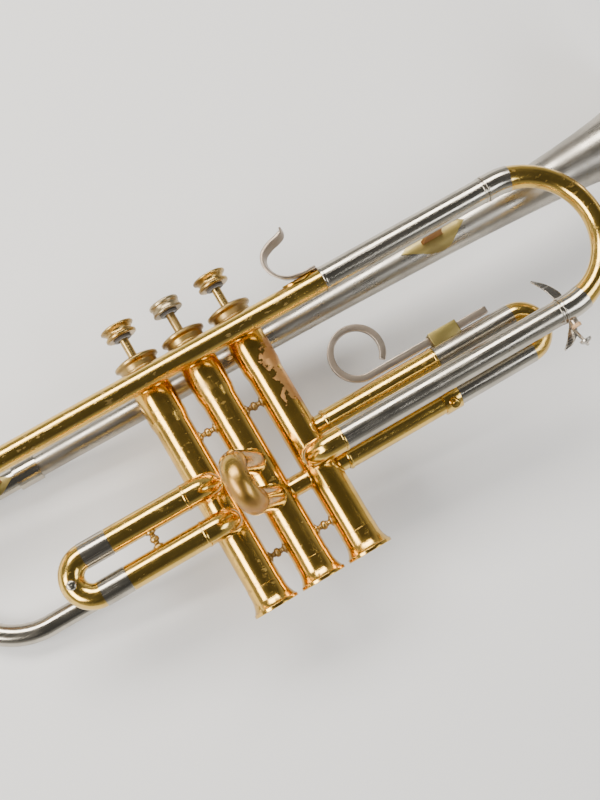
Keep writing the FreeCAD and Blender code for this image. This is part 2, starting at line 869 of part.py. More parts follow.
def bow_ferrules():
    """The rings that cover the bow's joints with the bell and with the first valve's elbow."""
    upper_start = V(bow_ferrule_start, bell_y, bell_z)
    upper_end = upper_start + V(bow_ferrule_length, 0, 0)
    upper_bore = bell_radius(bow_ferrule_start + bow_ferrule_length) + solder_gap
    upper = pipe(upper_start, upper_end, bow_ferrule_r, upper_bore)
    low_start = V(bow_straight_end - bow_ferrule_length, bow_low_y, bell_z)
    low_end = V(bow_straight_end, bow_low_y, bell_z)
    lower = pipe(low_start, low_end, bow_low_r + 0.9, bow_low_r + solder_gap)
    return Part.makeCompound([upper, lower])


def leaf(x, length, y, half_width, z_low, z_high):
    """A solid with a pointed leaf outline in plan, used to cut a brace's flange."""
    tip_a, tip_b = V(x - length / 2, y, z_low), V(x + length / 2, y, z_low)
    top, low = V(x, y + half_width, z_low), V(x, y - half_width, z_low)
    edges = [Part.Arc(tip_a, top, tip_b).toShape(), Part.Arc(tip_b, low, tip_a).toShape()]
    return Part.Face(Part.Wire(edges)).extrude(V(0, 0, z_high - z_low))


def brace(x, length, pipe_r):
    """A bell brace: a leaf flange on the bell, one on the leadpipe's tube, and a web between."""
    bell_r = bell_radius(max(x + length / 2, bell_tail_x)) + solder_gap
    on_bell = pipe(
        V(x - length / 2 - 1, bell_y, bell_z),
        V(x + length / 2 + 1, bell_y, bell_z),
        bell_r + brace_plate,
        bell_r,
    ).common(leaf(x, length, bell_y, min(brace_leaf_width, bell_r), bell_z, bell_z + 30))
    on_pipe = pipe(
        V(x - length / 2 - 1, 0, 0),
        V(x + length / 2 + 1, 0, 0),
        pipe_r + brace_plate,
        pipe_r + solder_gap,
    ).common(leaf(x, length * 0.8, 0, pipe_r * 0.8, -30, 0))
    mid_y = bell_y / 2
    corner = V(x - brace_web_width / 2, mid_y - brace_web_thickness / 2, bell_z)
    web = Part.makeBox(brace_web_width, brace_web_thickness, -bell_z, corner)
    web = web.cut(rod(V(x - 30, bell_y, bell_z), V(x + 30, bell_y, bell_z), bell_r + brace_plate / 2))
    web = web.cut(rod(V(x - 30, 0, 0), V(x + 30, 0, 0), pipe_r + brace_plate / 2))
    return web.fuse([on_bell, on_pipe])


def bell_braces():
    front = brace(front_brace_x, front_brace_length, sleeve_r)
    rear = brace(rear_brace_x, rear_brace_length, leadpipe_r)
    return Part.makeCompound([front, rear])


def casing_saddles():
    """Small blocks that hold the leadpipe and the bell against the outer casings."""
    blocks = []
    for index in (0, 2):
        x = valve_x[index]
        leadpipe_trim = rod(V(x - 9, 0, 0), V(x + 9, 0, 0), leadpipe_r + solder_gap)
        bell_r = bell_radius(x + 4) + solder_gap
        bell_trim = rod(V(x - 9, bell_y, bell_z), V(x + 9, bell_y, bell_z), bell_r)
        casing = rod(V(x, -40, valve_z), V(x, 20, valve_z), chamber_r + solder_gap)
        upper = Part.makeBox(8, 6, 8, V(x - 4, -3, valve_z + 7))
        lower = Part.makeBox(8, 6, 8, V(x - 4, bell_y - 3, valve_z - 15))
        blocks.append(upper.cut([leadpipe_trim, casing]))
        blocks.append(lower.cut([bell_trim, casing]))
    return Part.makeCompound([solid for block in blocks for solid in block.Solids])


# ---- valve slides ----------------------------------------------------------------------

def first_elbows():
    """The first slide's two knuckles on the first casing."""
    parts = [elbow(0, y, first_z, -1, first_elbow_end, elbow_r, elbow_bore) for y in first_leg_y]
    return Part.makeCompound(parts)


def straight_legs(start_x, end_x, heights, z, outer, bore):
    """A pair of parallel tubes along X."""
    legs = [pipe(V(start_x, y, z), V(end_x, y, z), outer, bore) for y in heights]
    return Part.makeCompound(legs)


def slide_crook(bend_x, heights, z, way):
    """A small half-round crook that opens along X; way is the side it bulges towards."""
    upper, lower = heights
    centre = V(bend_x, (upper + lower) / 2, z)
    start = V(bend_x, upper, z)
    return half_round(centre, start, X_AXIS, Z_AXIS * -way, crook_r, slide_tube_bore)


def second_point(y, reach):
    """A point on the second slide, at a height and a distance out from the valve's axis."""
    return V(valve_2_x, y, valve_z) + axis_2 * reach


def second_pair(start, end, outer, bore):
    """A pair of the second slide's tubes between two distances from the valve's axis."""
    tubes = []
    for y in second_leg_y:
        tube = pipe(second_point(y, start), second_point(y, end), outer, bore)
        tubes.append(trimmed(tube, [1]))
    return Part.makeCompound(tubes)


def second_crook():
    upper, lower = second_leg_y
    centre = second_point((upper + lower) / 2, second_bend_reach)
    start = second_point(upper, second_bend_reach)
    return half_round(centre, start, axis_2, Y_AXIS.cross(axis_2), crook_r, slide_tube_bore)


def third_stubs():
    """Short tubes between the third casing and the third slide's sleeves."""
    start = valve_x[2] + casing_bore
    stubs = straight_legs(start, third_sleeve_start, third_leg_y, third_z, third_stub_r, third_stub_bore)
    return Part.makeCompound([trimmed(stub, [2]) for stub in stubs.Solids])


def third_stop_collar():
    """A collar at the end of the lower sleeve, with the stop screw's boss and its screw."""
    y = third_leg_y[1]
    start = V(third_sleeve_end - third_collar_length, y, third_z)
    end = V(third_sleeve_end, y, third_z)
    ring = pipe(start, end, third_collar_r, sleeve_r + solder_gap)
    middle = (start + end) * 0.5
    way = V(0, -0.5, 0.866)
    boss = rod(middle + way * 6.8, middle + way * 9.6, 2.6)
    hole = rod(middle + way * 6.9, middle + way * 10, third_stop_screw_r)
    screw = rod(middle + way * 7.6, middle + way * 10.6, third_stop_screw_r - 0.02)
    return Part.makeCompound([ring.fuse(boss).cut(hole), screw])


def ring_clamp():
    """The block on the third slide's upper leg that holds the finger ring's bar."""
    leg_y = third_leg_y[0]
    length = clamp_high_x - clamp_low_x
    corner = V(clamp_low_x, leg_y + 4.5, third_z - clamp_breadth / 2)
    block = Part.makeBox(length, clamp_top_y - corner.y, clamp_breadth, corner)
    leg_start = V(clamp_low_x - 1, leg_y, third_z)
    leg = rod(leg_start, leg_start + V(length + 2, 0, 0), ferrule_r + solder_gap)
    half_height = bar_height / 2 + clamp_clearance
    half_breadth = bar_breadth / 2 + clamp_clearance
    slot_corner = V(clamp_low_x - 1, bar_y - half_height, third_z - half_breadth)
    slot = Part.makeBox(length + 2, 2 * half_height, 2 * half_breadth, slot_corner)
    hole_start = V(thumbscrew_x, bar_y, third_z - 8)
    hole = rod(hole_start, hole_start + V(0, 0, 8), thumbscrew_shank_r + 0.05)
    return block.cut([leg, slot, hole])


def finger_ring():
    """An open ring of flat bar that runs on into a straight bar."""
    half = bar_height / 2
    centre = V(ring_centre_x, bar_y + ring_radius, third_z - bar_breadth / 2)

    def at(radius, angle):
        turn = math.radians(angle)
        return centre + V(math.cos(turn), math.sin(turn), 0) * radius

    outer, inner = ring_radius + half, ring_radius - half
    end_angle = -ring_gap_angle
    top_y, low_y = bar_y + half, bar_y - half
    z = centre.z
    end_x = bar_end_x - half
    edges = [
        Part.Arc(at(outer, -90), at(outer, 155), at(outer, end_angle + 360)).toShape(),
        Part.LineSegment(at(outer, end_angle), at(inner, end_angle)).toShape(),
        Part.Arc(at(inner, end_angle), at(inner, 155), at(inner, -90)).toShape(),
        Part.LineSegment(at(inner, -90), V(end_x, top_y, z)).toShape(),
        Part.Arc(V(end_x, top_y, z), V(bar_end_x, bar_y, z), V(end_x, low_y, z)).toShape(),
        Part.LineSegment(V(end_x, low_y, z), at(outer, -90)).toShape(),
    ]
    face = Part.Face(Part.Wire(Part.__sortEdges__(edges)))
    return face.extrude(V(0, 0, bar_breadth))


def thumbscrew():
    """The knurled screw behind the clamp that locks the ring's bar."""
    tip = V(thumbscrew_x, bar_y, third_z - bar_breadth / 2 - 0.1)
    seat = V(thumbscrew_x, bar_y, third_z - clamp_breadth / 2 - 0.3)
    shank = rod(seat, tip, thumbscrew_shank_r)
    head = rod(seat - V(0, 0, thumbscrew_head_height), seat, thumbscrew_head_r)
    grooves = []
    for step in range(18):
        turn = math.radians(20 * step)
        place = seat + V(math.cos(turn), math.sin(turn), 0) * thumbscrew_head_r
        grooves.append(rod(place - V(0, 0, thumbscrew_head_height), place, 0.32))
    return head.cut(grooves).fuse(shank)


# ---- the assembly ----------------------------------------------------------------------

def build():
    nodes = {
        "mouthpiece_receiver": mouthpiece_receiver(),
        "leadpipe": leadpipe(),
        "main_sleeves": main_sleeves(),
        "main_elbow": elbow(2, main_low_y, 0, 1, main_low_sleeve_start, elbow_r, elbow_bore),
        "main_slide_tubes": main_slide_tubes(),
        "main_ferrules": main_ferrules(),
        "main_crook": main_crook(),
        "finger_hook": finger_hook(),
        "water_key_saddle": water_key_saddle(),
        "water_key_lever": water_key_lever(),
        "water_key_cork": water_key_cork(),
        "bell": bell(),
        "bell_bow": bell_bow(),
        "bow_ferrules": bow_ferrules(),
        "bell_elbow": elbow(
            0, bow_low_y, bell_z, -1, bow_straight_end, bow_low_r, bow_low_r - bow_wall
        ),
        "bell_braces": bell_braces(),
        "bottom_caps": Part.makeCompound([bottom_cap(x) for x in valve_x]),
        "valve_guides": Part.makeCompound([valve_guide(x) for x in valve_x]),
        "casing_saddles": casing_saddles(),
        "port_tubes": port_tubes(),
        "turned_posts": turned_posts(),
    }
    for number, x in enumerate(valve_x, start=1):
        button = middle_button if number == 2 else outer_button
        nodes[f"valve_casing_{number}"] = valve_casing(number - 1)
        nodes[f"top_cap_{number}"] = top_cap(x)
        nodes[f"piston_{number}"] = piston(x)
        nodes[f"piston_stem_{number}"] = piston_stem(x)
        nodes[f"finger_button_{number}"] = button(x)
        nodes[f"piston_felts_{number}"] = piston_felts(x)
        nodes[f"valve_spring_{number}"] = valve_spring(x)

    first_ferrule_start = first_sleeve_end - parting_gap
    nodes["first_elbows"] = first_elbows()
    nodes["first_sleeves"] = straight_legs(
        first_elbow_end, first_sleeve_end, first_leg_y, first_z, sleeve_r, sleeve_bore
    )
    nodes["first_slide_tubes"] = straight_legs(
        first_bend_x, first_tube_end, first_leg_y, first_z, slide_tube_r, slide_tube_bore
    )
    nodes["first_ferrules"] = straight_legs(
        first_bend_x, first_ferrule_start, first_leg_y, first_z, ferrule_r, slide_tube_r + solder_gap
    )
    nodes["first_crook"] = slide_crook(first_bend_x, first_leg_y, first_z, -1)

    second_ferrule_start = second_sleeve_reach + parting_gap
    nodes["second_sleeves"] = second_pair(casing_bore, second_sleeve_reach, sleeve_r, sleeve_bore)
    nodes["second_slide_tubes"] = second_pair(
        second_tube_start, second_bend_reach, slide_tube_r, slide_tube_bore
    )
    nodes["second_ferrules"] = second_pair(
        second_ferrule_start, second_bend_reach, ferrule_r, slide_tube_r + solder_gap
    )
    nodes["second_crook"] = second_crook()

    third_leg_start = third_sleeve_end + parting_gap
    nodes["third_stubs"] = third_stubs()
    nodes["third_sleeves"] = straight_legs(
        third_sleeve_start, third_sleeve_end, third_leg_y, third_z, sleeve_r, sleeve_bore
    )
    nodes["third_stop_collar"] = third_stop_collar()
    nodes["third_slide_tubes"] = straight_legs(
        third_tube_start, third_bend_x, third_leg_y, third_z, slide_tube_r, slide_tube_bore
    )
    nodes["third_extensions"] = straight_legs(
        third_leg_start, third_bend_x, third_leg_y, third_z, ferrule_r, slide_tube_r + solder_gap
    )
    nodes["third_crook"] = slide_crook(third_bend_x, third_leg_y, third_z, 1)
    nodes["ring_clamp"] = ring_clamp()
    nodes["finger_ring"] = finger_ring()
    nodes["thumbscrew"] = thumbscrew()
    return nodes


os.makedirs("parts", exist_ok=True)
for name, shape in build().items():
    shape.exportStep(f"parts/{name}.step")
    print(f"{name:22s} solids {len(shape.Solids)} volume {shape.Volume:9.1f} valid {shape.isValid()}")
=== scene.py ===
import json
import math

import bmesh
import bpy
from mathutils import Matrix, Vector


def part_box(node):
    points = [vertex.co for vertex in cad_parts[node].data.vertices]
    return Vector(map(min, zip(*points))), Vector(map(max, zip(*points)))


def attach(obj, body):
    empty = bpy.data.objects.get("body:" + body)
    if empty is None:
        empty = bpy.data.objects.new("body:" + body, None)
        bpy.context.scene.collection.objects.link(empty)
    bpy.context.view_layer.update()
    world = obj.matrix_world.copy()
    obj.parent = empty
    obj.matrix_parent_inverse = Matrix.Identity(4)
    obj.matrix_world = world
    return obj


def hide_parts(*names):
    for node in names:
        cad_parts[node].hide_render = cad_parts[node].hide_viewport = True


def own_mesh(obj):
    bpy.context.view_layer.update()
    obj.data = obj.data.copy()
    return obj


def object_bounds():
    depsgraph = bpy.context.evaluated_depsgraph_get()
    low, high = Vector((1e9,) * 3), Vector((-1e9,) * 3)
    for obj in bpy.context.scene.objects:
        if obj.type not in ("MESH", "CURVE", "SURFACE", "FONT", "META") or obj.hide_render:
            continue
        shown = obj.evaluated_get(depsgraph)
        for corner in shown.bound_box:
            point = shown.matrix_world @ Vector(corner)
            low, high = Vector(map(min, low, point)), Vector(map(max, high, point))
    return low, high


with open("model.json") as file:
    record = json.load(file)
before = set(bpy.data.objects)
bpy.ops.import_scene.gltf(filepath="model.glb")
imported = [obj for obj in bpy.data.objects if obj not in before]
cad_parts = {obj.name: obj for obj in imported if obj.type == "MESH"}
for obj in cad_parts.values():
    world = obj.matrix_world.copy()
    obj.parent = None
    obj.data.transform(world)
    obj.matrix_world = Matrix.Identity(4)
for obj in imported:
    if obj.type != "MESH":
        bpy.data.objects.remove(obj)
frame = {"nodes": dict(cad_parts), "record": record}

# Looks for a B-flat trumpet that lies on its left side. Everything is in metres, in the frame
# of the CAD model: +X towards the bell, +Y towards the buttons, +Z towards the viewer.

MM = 0.001
nodes = frame["nodes"]
cad_low, cad_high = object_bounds()

# ---- camera, floor and light -------------------------------------------------------------

CAMERA_PLACE = Vector((0.1611, -0.1267, 0.6057))
CAMERA_TARGET = Vector((0.2427, -0.0444, -0.0170))
CAMERA_ROLL = math.radians(-30.7)
CAMERA_LENS = 57.0


def make_camera():
    """A camera that looks almost straight at the valves, rolled so that the trumpet runs uphill."""
    data = bpy.data.cameras.new("camera")
    data.lens = CAMERA_LENS
    data.sensor_width = 36.0
    camera = bpy.data.objects.new("camera", data)
    bpy.context.scene.collection.objects.link(camera)
    forward = (CAMERA_TARGET - CAMERA_PLACE).normalized()
    level = forward.cross(Vector((0, 1, 0))).normalized()
    upright = level.cross(forward)
    right = level * math.cos(CAMERA_ROLL) + upright * math.sin(CAMERA_ROLL)
    up = right.cross(forward)
    turn = Matrix((right, up, -forward)).transposed().to_4x4()
    camera.matrix_world = Matrix.Translation(CAMERA_PLACE) @ turn
    bpy.context.scene.camera = camera


def node_tree(owner):
    """A material's or a world's own nodes, emptied."""
    owner.use_nodes = True
    owner.node_tree.nodes.clear()
    return owner.node_tree


FLOOR_GAP = 0.0012
FLOOR_HALF = 30.0
BOW_BEND_DEPTH = 0.04


def make_floor():
    """A pale table just under the bell's rim and the bow, which is why it slopes a little."""
    rim_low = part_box("bell")[0]
    bow_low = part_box("bell_bow")[0]
    bell_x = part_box("bell")[1].x
    slope = math.atan2(bow_low.z - rim_low.z, bell_x - bow_low.x - BOW_BEND_DEPTH)
    size = FLOOR_HALF
    corners = [(-size, -size, 0), (size, -size, 0), (size, size, 0), (-size, size, 0)]
    mesh = bpy.data.meshes.new("floor")
    mesh.from_pydata(corners, [], [(0, 1, 2, 3)])
    floor = bpy.data.objects.new("floor", mesh)
    floor.rotation_euler = (0, slope, 0)
    floor.location = (bell_x, 0, rim_low.z - FLOOR_GAP)
    bpy.context.scene.collection.objects.link(floor)
    material = bpy.data.materials.new("floor_paper")
    tree = node_tree(material)
    out = tree.nodes.new("ShaderNodeOutputMaterial")
    shader = tree.nodes.new("ShaderNodeBsdfPrincipled")
    shader.inputs["Base Color"].default_value = (0.60, 0.595, 0.585, 1)
    shader.inputs["Emission Color"].default_value = (1.0, 0.99, 0.975, 1)
    shader.inputs["Emission Strength"].default_value = 0.26
    shader.inputs["Roughness"].default_value = 0.75
    tree.links.new(shader.outputs[0], out.inputs[0])
    mesh.materials.append(material)


def area_light(name, place, target, size, power, colour):
    """A soft box of size metres that faces the target."""
    data = bpy.data.lights.new(name, "AREA")
    data.shape = "RECTANGLE"
    data.size, data.size_y = size
    data.energy = power
    data.color = colour
    light = bpy.data.objects.new(name, data)
    light.location = place
    light.rotation_euler = (Vector(target) - Vector(place)).to_track_quat("-Z", "Y").to_euler()
    bpy.context.scene.collection.objects.link(light)


def make_lights():
    """Soft boxes over the trumpet, and a sky that is pale low down and darker overhead."""
    middle = (cad_low + cad_high) / 2
    area_light("back", middle + Vector((0.0, 0.95, 1.1)), middle, (1.5, 0.5), 38, (1.0, 0.96, 0.9))
    area_light("left", middle + Vector((-1.1, -0.05, 1.1)), middle, (1.2, 0.6), 36, (1.0, 0.96, 0.9))
    area_light("fill", middle + Vector((0.8, -0.6, 0.9)), middle, (0.8, 0.5), 9, (0.95, 0.97, 1.0))
    world = bpy.data.worlds.new("studio")
    bpy.context.scene.world = world
    tree = node_tree(world)
    out = tree.nodes.new("ShaderNodeOutputWorld")
    back = tree.nodes.new("ShaderNodeBackground")
    coordinates = tree.nodes.new("ShaderNodeTexCoord")
    split = tree.nodes.new("ShaderNodeSeparateXYZ")
    ramp = tree.nodes.new("ShaderNodeValToRGB")
    ramp.color_ramp.elements[0].position = 0.18
    ramp.color_ramp.elements[0].color = (0.48, 0.48, 0.472, 1)
    ramp.color_ramp.elements[1].position = 0.58
    ramp.color_ramp.elements[1].color = (0.08, 0.08, 0.078, 1)
    tree.links.new(coordinates.outputs["Generated"], split.inputs[0])
    tree.links.new(split.outputs["Z"], ramp.inputs[0])
    tree.links.new(ramp.outputs[0], back.inputs[0])
    tree.links.new(back.outputs[0], out.inputs[0])


# ---- materials ---------------------------------------------------------------------------

class Paint:
    """Short words for building a material's nodes. Scales are in features per metre."""

    def __init__(self, name):
        self.material = bpy.data.materials.new(name)
        self.tree = node_tree(self.material)
        self.out = self.new("ShaderNodeOutputMaterial")
        self.shader = self.new("ShaderNodeBsdfPrincipled")
        self.link(self.shader.outputs[0], self.out.inputs[0])
        self.place = self.new("ShaderNodeTexCoord").outputs["Object"]

    def new(self, kind):
        return self.tree.nodes.new(kind)

    def link(self, source, target):
        self.tree.links.new(source, target)

    def noise(self, scale, stretch=(1, 1, 1), detail=4.0, shift=0.0, roughness=0.55):
        mapping = self.new("ShaderNodeMapping")
        mapping.inputs["Scale"].default_value = [scale * s for s in stretch]
        mapping.inputs["Location"].default_value = (shift, shift * 0.7, shift * 0.3)
        self.link(self.place, mapping.inputs[0])
        texture = self.new("ShaderNodeTexNoise")
        texture.inputs["Scale"].default_value = 1.0
        texture.inputs["Detail"].default_value = detail
        texture.inputs["Roughness"].default_value = roughness
        self.link(mapping.outputs[0], texture.inputs["Vector"])
        return texture.outputs[0]

    def cells(self, scale):
        mapping = self.new("ShaderNodeMapping")
        mapping.inputs["Scale"].default_value = [scale] * 3
        self.link(self.place, mapping.inputs[0])
        texture = self.new("ShaderNodeTexVoronoi")
        texture.inputs["Scale"].default_value = 1.0
        self.link(mapping.outputs[0], texture.inputs["Vector"])
        return texture.outputs["Distance"]

    def step(self, source, low, high, from_value=0.0, to_value=1.0):
        """A value that goes from from_value to to_value as source goes from low to high."""
        node = self.new("ShaderNodeMapRange")
        node.inputs["From Min"].default_value = low
        node.inputs["From Max"].default_value = high
        node.inputs["To Min"].default_value = from_value
        node.inputs["To Max"].default_value = to_value
        self.link(source, node.inputs["Value"])
        return node.outputs[0]

    def maths(self, operation, a, b):
        node = self.new("ShaderNodeMath")
        node.operation = operation
        for socket, value in zip(node.inputs, (a, b)):
            if isinstance(value, (int, float)):
                socket.default_value = value
            else:
                self.link(value, socket)
        return node.outputs[0]

    def blend(self, factor, a, b):
        """A colour between a and b; each is a colour or another node's output."""
        node = self.new("ShaderNodeMix")
        node.data_type = "RGBA"
        self.link(factor, node.inputs[0])
        for socket, value in ((node.inputs[6], a), (node.inputs[7], b)):
            if isinstance(value, tuple):
                socket.default_value = (*value, 1)
            else:
                self.link(value, socket)
        return node.outputs[2]

    def bump(self, height, strength, distance=0.0002):
        node = self.new("ShaderNodeBump")
        node.inputs["Strength"].default_value = strength
        node.inputs["Distance"].default_value = distance
        self.link(height, node.inputs["Height"])
        self.link(node.outputs[0], self.shader.inputs["Normal"])

    def finish(self, colour, roughness, metallic=1.0):
        self.link(colour, self.shader.inputs["Base Color"])
        self.link(roughness, self.shader.inputs["Roughness"])
        self.shader.inputs["Metallic"].default_value = metallic
        return self.material


# Stretches that draw a noise out into scratches along an axis.
ALONG_X = (0.03, 1.0, 1.0)
ALONG_Y = (1.0, 0.03, 1.0)
BRIGHT_CASING = (0.80, 0.49, 0.10)


def worn_lacquer(name, bright, dull, grain, worn_from, worn_to, rough):
    """Gold lacquer: dull patches where it is worn, fine scratches along the grain, small pits."""
    p = Paint(name)
    broad = p.noise(28, detail=5.0, shift=3.0)
    flecks = p.noise(420, (0.5, 1, 1), detail=3.0)
    scratches = p.noise(2600, grain, detail=2.0, shift=9.0)
    patches = p.step(broad, worn_from, worn_to)
    specks = p.step(flecks, 0.60, 0.66)
    worn = p.maths("MAXIMUM", patches, p.maths("MULTIPLY", specks, 0.55))
    tone = p.step(p.noise(90, detail=3.0, shift=5.0), 0.35, 0.65)
    clean = p.blend(tone, bright, tuple(c * 0.86 for c in bright))
    colour = p.blend(worn, clean, dull)
    lines = p.step(scratches, 0.58, 0.70)
    dulled = p.step(worn, 0, 1, rough, rough + 0.24)
    roughness = p.maths("ADD", dulled, p.maths("MULTIPLY", lines, 0.10))
    p.bump(p.maths("ADD", p.maths("MULTIPLY", lines, 0.5), p.maths("MULTIPLY", worn, -0.6)), 0.05)
    p.shader.inputs["Coat Weight"].default_value = 0.25
    p.shader.inputs["Coat Roughness"].default_value = 0.12
    return p.finish(colour, roughness)


def worn_nickel(name, bright, dull, rough):
    """Nickel plate: a grey bloom, streaks along the tube and a few brown specks."""
    p = Paint(name)
    bloom = p.step(p.noise(35, detail=6.0, shift=1.0), 0.42, 0.66)
    streaks = p.step(p.noise(1500, ALONG_X, detail=3.0, shift=2.0), 0.50, 0.68)
    specks = p.step(p.noise(700, detail=2.0, shift=4.0), 0.66, 0.72)
    colour = p.blend(bloom, bright, dull)
    colour = p.blend(p.maths("MULTIPLY", specks, 0.6), colour, (0.30, 0.22, 0.13))
    wear = p.maths("ADD", p.maths("MULTIPLY", bloom, 0.12), p.maths("MULTIPLY", streaks, 0.07))
    p.bump(p.maths("ADD", streaks, p.maths("MULTIPLY", specks, -1.0)), 0.01)
    return p.finish(colour, p.maths("ADD", wear, rough))


def casing_patches(name):
    """The third casing: bare coppery patches on its upper right side, with torn edges."""
    p = Paint(name)
    axis = valve_base(3)
    split = p.new("ShaderNodeSeparateXYZ")
    p.link(p.place, split.inputs[0])
    right = p.step(split.outputs["X"], axis.x - 0.003, axis.x + 0.006)
    upper = p.step(split.outputs["Y"], -0.056, -0.040)
    below_cap = p.step(split.outputs["Y"], -0.002, -0.012)
    region = p.maths("MULTIPLY", right, p.maths("MULTIPLY", upper, below_cap))
    torn = p.noise(150, detail=5.0, shift=2.0, roughness=0.6)
    bare = p.step(p.maths("ADD", torn, p.maths("MULTIPLY", region, 0.32)), 0.70, 0.72)
    edge = p.step(p.maths("ADD", torn, p.maths("MULTIPLY", region, 0.32)), 0.67, 0.71)
    tone = p.step(p.noise(60, detail=4.0, shift=7.0), 0.4, 0.62)
    metal = p.blend(tone, BRIGHT_CASING, tuple(c * 0.8 for c in BRIGHT_CASING))
    rimmed = p.blend(p.maths("MULTIPLY", edge, 0.7), metal, (0.35, 0.17, 0.05))
    copper = p.blend(tone, (0.66, 0.35, 0.12), (0.50, 0.24, 0.08))
    colour = p.blend(bare, rimmed, copper)
    lines = p.step(p.noise(2600, ALONG_Y, detail=2.0, shift=9.0), 0.58, 0.70)
    roughness = p.maths("ADD", p.step(bare, 0, 1, 0.16, 0.40), p.maths("MULTIPLY", lines, 0.06))
    height = p.maths("ADD", p.maths("MULTIPLY", bare, -1.0), p.maths("MULTIPLY", lines, 0.1))
    p.bump(height, 0.10, 0.0001)
    return p.finish(colour, roughness)


def felt_material(name):
    """Dark pressed felt with loose fibres."""
    p = Paint(name)
    fibres = p.noise(3000, detail=4.0)
    colour = p.blend(p.step(fibres, 0.3, 0.7), (0.03, 0.028, 0.026), (0.10, 0.09, 0.085))
    p.bump(fibres, 0.6, 0.0003)
    p.shader.inputs["Sheen Weight"].default_value = 0.4
    return p.finish(colour, p.step(fibres, 0.3, 0.7, 0.85, 1.0), 0.0)


def cork_material(name):
    p = Paint(name)
    grains = p.cells(900)
    pores = p.step(p.noise(1400, detail=2.0), 0.58, 0.66)
    colour = p.blend(p.step(grains, 0.1, 0.7), (0.42, 0.24, 0.11), (0.56, 0.36, 0.19))
    colour = p.blend(pores, colour, (0.16, 0.08, 0.04))
    p.bump(p.maths("MULTIPLY", pores, -1.0), 0.5)
    return p.finish(colour, p.step(grains, 0, 1, 0.75, 0.9), 0.0)


def nylon_material(name):
    p = Paint(name)
    grain = p.noise(1800, detail=2.0)
    colour = p.blend(p.step(grain, 0.35, 0.65), (0.78, 0.75, 0.66), (0.70, 0.67, 0.58))
    p.bump(grain, 0.1)
    return p.finish(colour, p.step(grain, 0.3, 0.7, 0.45, 0.6), 0.0)


def make_materials():
    """Every material by name. Each row below holds the arguments after the name."""
    gold, gold_dull = (0.78, 0.51, 0.115), (0.40, 0.24, 0.07)
    lacquers = {
        "lacquered_brass": (gold, gold_dull, ALONG_X, 0.62, 0.74, 0.16),
        "leadpipe_brass": (gold, (0.60, 0.40, 0.16), ALONG_X, 0.57, 0.66, 0.16),
        "casing_brass": (BRIGHT_CASING, gold_dull, ALONG_Y, 0.64, 0.74, 0.16),
        "dull_brass": ((0.50, 0.335, 0.11), (0.22, 0.14, 0.05), ALONG_X, 0.42, 0.62, 0.25),
        "crook_brass": ((0.46, 0.285, 0.055), (0.36, 0.185, 0.05), ALONG_X, 0.50, 0.66, 0.20),
        "brace_brass": ((0.35, 0.275, 0.085), (0.22, 0.165, 0.06), ALONG_X, 0.42, 0.62, 0.32),
        "bare_copper": ((0.56, 0.28, 0.12), (0.36, 0.18, 0.08), ALONG_X, 0.44, 0.62, 0.34),
    }
    nickels = {
        "nickel_plate": ((0.50, 0.46, 0.385), (0.33, 0.30, 0.25), 0.15),
        "bell_nickel": ((0.45, 0.415, 0.355), (0.30, 0.275, 0.235), 0.23),
        "nickel_silver": ((0.45, 0.375, 0.305), (0.25, 0.20, 0.155), 0.28),
        "key_nickel": ((0.56, 0.52, 0.46), (0.38, 0.34, 0.29), 0.22),
        "button_nickel": ((0.47, 0.37, 0.215), (0.26, 0.2, 0.11), 0.26),
        "piston_metal": ((0.62, 0.62, 0.60), (0.50, 0.50, 0.48), 0.18),
        "spring_steel": ((0.50, 0.46, 0.38), (0.35, 0.30, 0.22), 0.25),
    }
    made = {name: worn_lacquer(name, *looks) for name, looks in lacquers.items()}
    made.update({name: worn_nickel(name, *looks) for name, looks in nickels.items()})
    made["casing_3_worn"] = casing_patches("casing_3_worn")
    made["guide_nylon"] = nylon_material("guide_nylon")
    made["felt"] = felt_material("felt")
    made["cork"] = cork_material("cork")
    return made


# ---- shapes ------------------------------------------------------------------------------
# A shape is a pair: a list of points in metres, and a list of faces over them.

X, Y, Z = Vector((1, 0, 0)), Vector((0, 1, 0)), Vector((0, 0, 1))


def centre_of(node):
    low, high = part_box(node)
    return (low + high) / 2


def soften(corners, radius):
    """A closed outline with its corners rounded."""
    steps = 4
    points = []
    for index, corner in enumerate(corners):
        before = corners[index - 1] - corner
        after = corners[(index + 1) % len(corners)] - corner
        start = corner + before.normalized() * min(radius, before.length * 0.45)
        end = corner + after.normalized() * min(radius, after.length * 0.45)
        for step in range(steps + 1):
            t = step / steps
            points.append(start * (1 - t) ** 2 + corner * 2 * t * (1 - t) + end * t ** 2)
    return points


def lathe(outline, base, axis, radius, sides=96):
    """A closed outline of (along, away) corners in mm, turned about an axis.

    radius rounds the outline's corners, and 0 keeps them sharp.
    """
    side = axis.cross(Z if abs(axis.z) < 0.9 else X).normalized()
    other = axis.cross(side)
    ring = [Vector((along, away, 0)) for along, away in outline]
    if radius:
        ring = soften(ring, radius)
    points, faces = [], []
    for turn in range(sides):
        angle = 2 * math.pi * turn / sides
        out = side * math.cos(angle) + other * math.sin(angle)
        points += [base + (axis * p.x + out * p.y) * MM for p in ring]
    count = len(ring)
    for turn in range(sides):
        here, there = turn * count, (turn + 1) % sides * count
        for step in range(count):
            onward = (step + 1) % count
            faces.append((here + step, here + onward, there + onward, there + step))
    return points, faces


def smooth_line(corners, count):
    """Points on a smooth curve through the corners, with equal steps from corner to corner."""
    ends = [corners[0] * 2 - corners[1], *corners, corners[-1] * 2 - corners[-2]]
    points = []
    for step in range(count + 1):
        place = step / count * (len(corners) - 1)
        index = min(int(place), len(corners) - 2)
        t = place - index
        a, b, c, d = ends[index:index + 4]
        points.append(
            (b * 2 + (c - a) * t + (a * 2 - b * 5 + c * 4 - d) * t * t
             + (b * 3 - a - c * 3 + d) * t ** 3) * 0.5
        )
    return points


